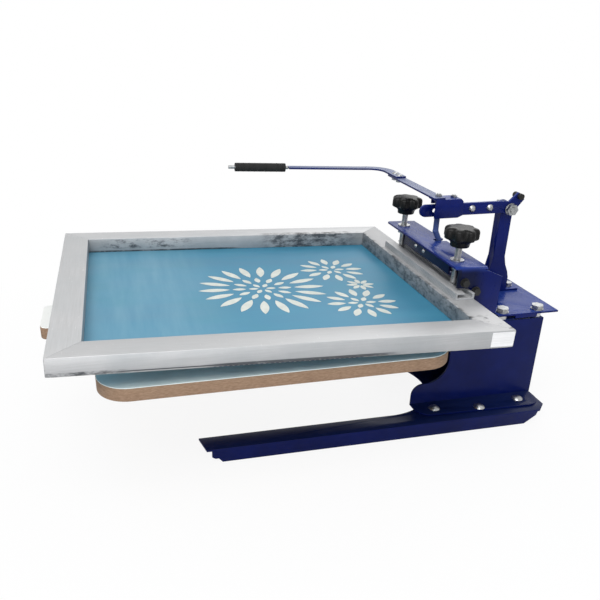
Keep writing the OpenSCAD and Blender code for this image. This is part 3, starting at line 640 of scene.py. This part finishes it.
# %% Builder for repeated parts
def node_tree(name, inputs):
    """A geometry tree with the given (name, type, value) inputs, and its input and output nodes."""
    tree = bpy.data.node_groups.new(name, "GeometryNodeTree")
    tree.interface.new_socket("Geometry", in_out="OUTPUT", socket_type="NodeSocketGeometry")
    for label, kind, value in inputs:
        socket = tree.interface.new_socket(label, in_out="INPUT", socket_type=kind)
        if value is not None:
            socket.default_value = value
    return tree, tree.nodes.new("NodeGroupInput"), tree.nodes.new("NodeGroupOutput")


def close_tree(tree, enter, leave, geometry):
    """Ends a tree with real geometry in the chosen material."""
    real = tree.nodes.new("GeometryNodeRealizeInstances")
    paint = tree.nodes.new("GeometryNodeSetMaterial")
    tree.links.new(geometry, real.inputs["Geometry"])
    tree.links.new(real.outputs["Geometry"], paint.inputs["Geometry"])
    tree.links.new(enter.outputs["Material"], paint.inputs["Material"])
    tree.links.new(paint.outputs["Geometry"], leave.inputs["Geometry"])


def grow(name, tree, values, body, place):
    """Runs a tree with these input values and bakes the result into a piece at a place."""
    piece = bpy.data.objects.new(name, bpy.data.meshes.new(name))
    bpy.context.scene.collection.objects.link(piece)
    modifier = piece.modifiers.new("grown", "NODES")
    modifier.node_group = tree
    for item in tree.interface.items_tree:
        if item.in_out == "INPUT" and item.name in values:
            modifier[item.identifier] = values[item.name]
    made = flatten_modifiers(piece)
    made.transform(place)
    made.name = name
    smooth(made)
    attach(piece, body)
    print(name, len(made.polygons), "faces")


print("builder for repeated parts ready")

# %% [markdown]
# A screw thread at this scale is read as even rings. A ring is a small profile swept round a
# circle, and a line of points carries one ring for each turn of the thread.

# %% Threads on the screws
THREAD_RADIUS, THREAD_RIDGE = 4.62 * MM, 0.45 * MM
RING_CORNERS, RIDGE_CORNERS = 28, 4
# Name, height of the lowest ring and number of rings of each stretch of thread
THREADS = (("upper", HEAD_TOP + 3.2 * MM, 12), ("lower", FRAME_TOP + 5 * MM, 17))


def thread_tree():
    tree, enter, leave = node_tree("thread_rings", [
        ("Turns", "NodeSocketInt", 10), ("Pitch", "NodeSocketFloat", 1.5 * MM),
        ("Radius", "NodeSocketFloat", 5 * MM), ("Ridge", "NodeSocketFloat", 0.5 * MM),
        ("Material", "NodeSocketMaterial", None)])
    step = tree.nodes.new("ShaderNodeCombineXYZ")
    line = tree.nodes.new("GeometryNodeMeshLine")
    circle = tree.nodes.new("GeometryNodeCurvePrimitiveCircle")
    profile = tree.nodes.new("GeometryNodeCurvePrimitiveCircle")
    sweep = tree.nodes.new("GeometryNodeCurveToMesh")
    repeat = tree.nodes.new("GeometryNodeInstanceOnPoints")
    circle.inputs["Resolution"].default_value = RING_CORNERS
    profile.inputs["Resolution"].default_value = RIDGE_CORNERS
    tree.links.new(enter.outputs["Pitch"], step.inputs["Z"])
    tree.links.new(enter.outputs["Turns"], line.inputs["Count"])
    tree.links.new(step.outputs["Vector"], line.inputs["Offset"])
    tree.links.new(enter.outputs["Radius"], circle.inputs["Radius"])
    tree.links.new(enter.outputs["Ridge"], profile.inputs["Radius"])
    tree.links.new(circle.outputs["Curve"], sweep.inputs["Curve"])
    tree.links.new(profile.outputs["Curve"], sweep.inputs["Profile Curve"])
    tree.links.new(line.outputs["Mesh"], repeat.inputs["Points"])
    tree.links.new(sweep.outputs["Mesh"], repeat.inputs["Instance"])
    close_tree(tree, enter, leave, repeat.outputs["Instances"])
    return tree


threads = thread_tree()
for side, y in SCREWS:
    for part, low, turns in THREADS:
        values = {"Turns": turns, "Radius": THREAD_RADIUS, "Ridge": THREAD_RIDGE, "Material": zinc}
        grow("thread_" + part + "_" + side, threads, values, "knob_" + side,
             lifted @ Matrix.Translation((SCREW_X, y, low)))

# %% [markdown]
# The foam grip is moulded with low rings, so the same tree serves again with wide steps. Its axis
# is tilted a little, like the strap that carries it.

# %% Rings on the foam grip
GRIP_END, GRIP_TILT = Vector((0.02615, 0.237, 0.3678)), math.radians(2.6)
FIRST_RING, RING_STEP, RING_RADIUS, RING_RIDGE = 11.5 * MM, 10.4 * MM, 7.1 * MM, 1.0 * MM
grip_axis = Matrix.Translation(GRIP_END) @ Matrix.Rotation(GRIP_TILT - math.pi / 2, 4, "Y")
values = {
    "Turns": 9, "Pitch": RING_STEP, "Radius": RING_RADIUS, "Ridge": RING_RIDGE, "Material": foam}
grow("grip_rings", threads, values, "lift_lever",
     grip_axis @ Matrix.Translation((0, 0, FIRST_RING)))

# %% [markdown]
# The stencil is a plain design made for this part: rosettes of pointed leaves in rings. One leaf is
# drawn as a closed outline, and a circle of points turns and repeats it for each ring.

# %% Leaf rosettes of the stencil
STENCIL_TOP = FRAME_BOTTOM + 0.12 * MM
LEAF_STEPS, LEAF_FULLNESS = 10, 0.8
# Name, x, y, radius of the ring, number of leaves, length and half width of a leaf
STENCIL = [
    ("large_outer", -0.075, 0.0, 0.052, 18, 0.05, 0.0068),
    ("large_middle", -0.075, 0.0, 0.026, 12, 0.022, 0.0048),
    ("large_inner", -0.075, 0.0, 0.006, 6, 0.016, 0.004),
    ("near_outer", 0.065, -0.075, 0.026, 12, 0.03, 0.0058),
    ("near_inner", 0.065, -0.075, 0.006, 6, 0.017, 0.0042),
    ("far_outer", 0.065, 0.075, 0.026, 12, 0.03, 0.0058),
    ("far_inner", 0.065, 0.075, 0.006, 6, 0.017, 0.0042),
    ("tail", 0.09, 0.0, 0.004, 8, 0.02, 0.0042)]


def leaf_object(name, length, width):
    """A flat leaf that points along +X from the origin."""
    upper = []
    for i in range(LEAF_STEPS + 1):
        swell = math.sin(math.pi * i / LEAF_STEPS) ** LEAF_FULLNESS
        upper.append((length * i / LEAF_STEPS, width * swell))
    lower = [(x, -y) for x, y in reversed(upper[1:-1])]
    mesh = bpy.data.meshes.new(name)
    points = [(x, y, 0) for x, y in upper + lower]
    mesh.from_pydata(points, [], [list(reversed(range(len(points))))])
    return bpy.data.objects.new(name, mesh)


def rosette_tree():
    tree, enter, leave = node_tree("leaf_ring", [
        ("Leaf", "NodeSocketObject", None), ("Count", "NodeSocketInt", 12),
        ("Radius", "NodeSocketFloat", 30 * MM), ("Material", "NodeSocketMaterial", None)])
    ring = tree.nodes.new("GeometryNodeMeshCircle")
    info = tree.nodes.new("GeometryNodeObjectInfo")
    index = tree.nodes.new("GeometryNodeInputIndex")
    turn = tree.nodes.new("ShaderNodeMath")
    share = tree.nodes.new("ShaderNodeMath")
    angle = tree.nodes.new("ShaderNodeCombineXYZ")
    repeat = tree.nodes.new("GeometryNodeInstanceOnPoints")
    share.operation = "DIVIDE"
    share.inputs[0].default_value = 2 * math.pi
    turn.operation = "MULTIPLY"
    tree.links.new(enter.outputs["Count"], share.inputs[1])
    tree.links.new(share.outputs["Value"], turn.inputs[0])
    tree.links.new(index.outputs["Index"], turn.inputs[1])
    tree.links.new(turn.outputs["Value"], angle.inputs["Z"])
    tree.links.new(enter.outputs["Count"], ring.inputs["Vertices"])
    tree.links.new(enter.outputs["Radius"], ring.inputs["Radius"])
    tree.links.new(enter.outputs["Leaf"], info.inputs["Object"])
    tree.links.new(ring.outputs["Mesh"], repeat.inputs["Points"])
    tree.links.new(info.outputs["Geometry"], repeat.inputs["Instance"])
    tree.links.new(angle.outputs["Vector"], repeat.inputs["Rotation"])
    close_tree(tree, enter, leave, repeat.outputs["Instances"])
    return tree


rosettes = rosette_tree()
for part, x, y, radius, count, length, width in STENCIL:
    leaf = leaf_object("leaf_" + part, length, width)
    values = {"Leaf": leaf, "Count": count, "Radius": radius, "Material": bare_mesh}
    grow("stencil_" + part, rosettes, values, "screen_head",
         lifted @ Matrix.Translation((x, y, STENCIL_TOP)))
    bpy.data.objects.remove(leaf)

# %% [markdown]
# The cut edge of the mesh shows under the bars as a thin pale lip with short ends of dark thread. A
# pale strip stands for the lip and a row of tiny bars for the threads.

# %% Edge of the mesh under the bars
def row_tree():
    tree, enter, leave = node_tree("row_of_bars", [
        ("Count", "NodeSocketInt", 20), ("Step", "NodeSocketVector", (0.006, 0, 0)),
        ("Size", "NodeSocketVector", (0.003, 0.001, 0.001)),
        ("Material", "NodeSocketMaterial", None)])
    line = tree.nodes.new("GeometryNodeMeshLine")
    bar = tree.nodes.new("GeometryNodeMeshCube")
    repeat = tree.nodes.new("GeometryNodeInstanceOnPoints")
    tree.links.new(enter.outputs["Count"], line.inputs["Count"])
    tree.links.new(enter.outputs["Step"], line.inputs["Offset"])
    tree.links.new(enter.outputs["Size"], bar.inputs["Size"])
    tree.links.new(line.outputs["Mesh"], repeat.inputs["Points"])
    tree.links.new(bar.outputs["Mesh"], repeat.inputs["Instance"])
    close_tree(tree, enter, leave, repeat.outputs["Instances"])
    return tree


rows = row_tree()
thread_ink = moulded("dark_thread", (0.01, 0.015, 0.07), 0.6, 0.001, 0.00003)
lip_glue = moulded("pale_glue", (0.62, 0.62, 0.58), 0.5, 0.002, 0.0001, (0.5, 0.5, 0.46))
EDGE_INSET = 3 * MM
LIP_SIZE, LIP_DROP = (0.586, 3.4 * MM, 0.4 * MM), 0.3 * MM
ENDS_SIZE, ENDS_DROP = (3.6 * MM, 3.8 * MM, 0.3 * MM), 0.45 * MM
ENDS_COUNT, ENDS_STEP, ENDS_START = 30, 6.5 * MM, -0.19
lip = {"Count": 1, "Size": LIP_SIZE, "Material": lip_glue}
ends = {"Count": ENDS_COUNT, "Step": (ENDS_STEP, 0, 0), "Size": ENDS_SIZE, "Material": thread_ink}
mesh_edges = (("mesh_lip_", lip, (FRAME_FRONT + FRAME_REAR) / 2, LIP_DROP),
              ("mesh_threads_", ends, ENDS_START, ENDS_DROP))
for side, y in (("right", -FRAME_SIDE + EDGE_INSET), ("left", FRAME_SIDE - EDGE_INSET)):
    for part, values, x, drop in mesh_edges:
        grow(part + side, rows, values, "screen_head",
             lifted @ Matrix.Translation((x, y, FRAME_BOTTOM - drop)))

# %% [markdown]
# A bright plate sits on the outer face at the rear end of the right bar.

# %% Bare plate on the right bar
plate_metal = brushed_aluminium("bare_plate_metal", ALONG_X, level=0.92, side_shade=0.0)
PLATE_SIZE = (33 * MM, 0.4 * MM, 21 * MM)
PLATE_PLACE = (0.1955, -FRAME_SIDE - 0.2 * MM, 0.225)
values = {"Count": 1, "Size": PLATE_SIZE, "Material": plate_metal}
grow("bare_plate", rows, values, "screen_head",
     lifted @ Matrix.Translation(PLATE_PLACE))

# %% [markdown]
# The light is that of a product table: a bright room all round and three soft lamps. The largest
# hangs above the front left, a weaker one behind the right side, and a low strip in front lights
# the upright faces. The floor is pale and keeps the shadow of the base.

# %% Room, floor and lamps
ROOM_STRENGTH = 0.5
FLOOR_REACH, FLOOR_HEIGHT = 9, -0.0005
# The floor glows fully for the camera beyond the second of these distances from its middle
FADE_START, FADE_END, LEAST_GLOW = 0.35, 0.9, 0.9
# Name, place, target, size and power of each lamp
LAMPS = (
    ("key", (-0.6, -1.1, 1.9), (0, 0, 0.15), (1.6, 1.2), 30),
    ("rear_fill", (1.2, 1.4, 1.5), (0, 0, 0.2), (1.4, 1.0), 10),
    ("low_fill", (-0.5, -1.7, 0.36), (-0.1, 0, 0.2), (1.6, 0.25), 6))


def studio_world(strength):
    world = bpy.data.worlds.new("studio")
    bpy.context.scene.world = world
    world.use_nodes = True
    tree = world.node_tree
    back = tree.nodes["Background"]
    back.inputs["Color"].default_value = (0.95, 0.97, 1, 1)
    back.inputs["Strength"].default_value = strength
    white = tree.nodes.new("ShaderNodeBackground")
    white.inputs["Color"].default_value = (1, 1, 1, 1)
    white.inputs["Strength"].default_value = 1.0
    path = tree.nodes.new("ShaderNodeLightPath")
    blend = tree.nodes.new("ShaderNodeMixShader")
    bright = path.outputs["Is Camera Ray"]
    for ray in ("Is Transmission Ray", "Is Glossy Ray"):
        bright = math_node(tree, "MAXIMUM", bright, path.outputs[ray])
    tree.links.new(bright, blend.inputs["Fac"])
    tree.links.new(back.outputs["Background"], blend.inputs[1])
    tree.links.new(white.outputs["Background"], blend.inputs[2])
    tree.links.new(blend.outputs["Shader"], tree.nodes["World Output"].inputs["Surface"])


def lamp(name, place, target, size, power):
    data = bpy.data.lights.new(name, "AREA")
    data.shape = "RECTANGLE"
    data.size, data.size_y = size
    data.energy = power
    holder = bpy.data.objects.new(name, data)
    holder.location = place
    holder.rotation_euler = (Vector(target) - Vector(place)).to_track_quat("-Z", "Y").to_euler()
    bpy.context.scene.collection.objects.link(holder)


def pale_floor():
    material, tree, shader = new_material("pale_floor")
    shader.inputs["Base Color"].default_value = (0.9, 0.9, 0.9, 1)
    shader.inputs["Roughness"].default_value = 0.9
    glow = tree.nodes.new("ShaderNodeEmission")
    glow.inputs["Strength"].default_value = 1.0
    path = tree.nodes.new("ShaderNodeLightPath")
    place = tree.nodes.new("ShaderNodeTexCoord")
    reach = tree.nodes.new("ShaderNodeVectorMath")
    reach.operation = "LENGTH"
    fade = tree.nodes.new("ShaderNodeMapRange")
    fade.inputs["From Min"].default_value = FADE_START
    fade.inputs["From Max"].default_value = FADE_END
    fade.inputs["To Min"].default_value = LEAST_GLOW
    tree.links.new(place.outputs["Object"], reach.inputs[0])
    tree.links.new(reach.outputs["Value"], fade.inputs["Value"])
    blend = tree.nodes.new("ShaderNodeMixShader")
    share = math_node(tree, "MULTIPLY", path.outputs["Is Camera Ray"], fade.outputs["Result"])
    tree.links.new(share, blend.inputs["Fac"])
    tree.links.new(shader.outputs["BSDF"], blend.inputs[1])
    tree.links.new(glow.outputs["Emission"], blend.inputs[2])
    tree.links.new(blend.outputs["Shader"], tree.nodes["Material Output"].inputs["Surface"])
    mesh = bpy.data.meshes.new("floor")
    corners = [(x * FLOOR_REACH, y * FLOOR_REACH, FLOOR_HEIGHT)
               for x, y in ((-1, -1), (1, -1), (1, 1), (-1, 1))]
    mesh.from_pydata(corners, [], [(0, 1, 2, 3)])
    mesh.materials.append(material)
    floor = bpy.data.objects.new("floor", mesh)
    bpy.context.scene.collection.objects.link(floor)


studio_world(ROOM_STRENGTH)
for one in LAMPS:
    lamp(*one)
pale_floor()
bpy.context.scene.view_settings.view_transform = "Standard"
print("room, floor and three lamps")

# %% [markdown]
# The camera was fitted to the straight edges of the press. Its place and two of its axes are given,
# and the picture was cropped off centre, which a small lens shift repeats.

# %% Camera
FOCAL_PIXELS, IMAGE_PIXELS, SENSOR = 647.6, 600, 36.0
CENTRE_X, CENTRE_Y = 257.15, 316.74
CAMERA_PLACE = (-0.2894, -0.9345, 0.6047)
right = Vector((0.977, -0.21317, 0.00562)).normalized()
forward = Vector((0.19691, 0.89175, -0.40745)).normalized()
up = right.cross(forward).normalized()
data = bpy.data.cameras.new("camera")
data.sensor_width = SENSOR
data.lens = FOCAL_PIXELS / IMAGE_PIXELS * SENSOR
data.shift_x = (IMAGE_PIXELS / 2 - CENTRE_X) / IMAGE_PIXELS
data.shift_y = (CENTRE_Y - IMAGE_PIXELS / 2) / IMAGE_PIXELS
camera = bpy.data.objects.new("camera", data)
axes = Matrix((right, up, -forward)).transposed().to_4x4()
camera.matrix_world = Matrix.Translation(CAMERA_PLACE) @ axes
bpy.context.scene.collection.objects.link(camera)
bpy.context.scene.camera = camera
print("lens", round(data.lens, 2), "shift", round(data.shift_x, 4), round(data.shift_y, 4))
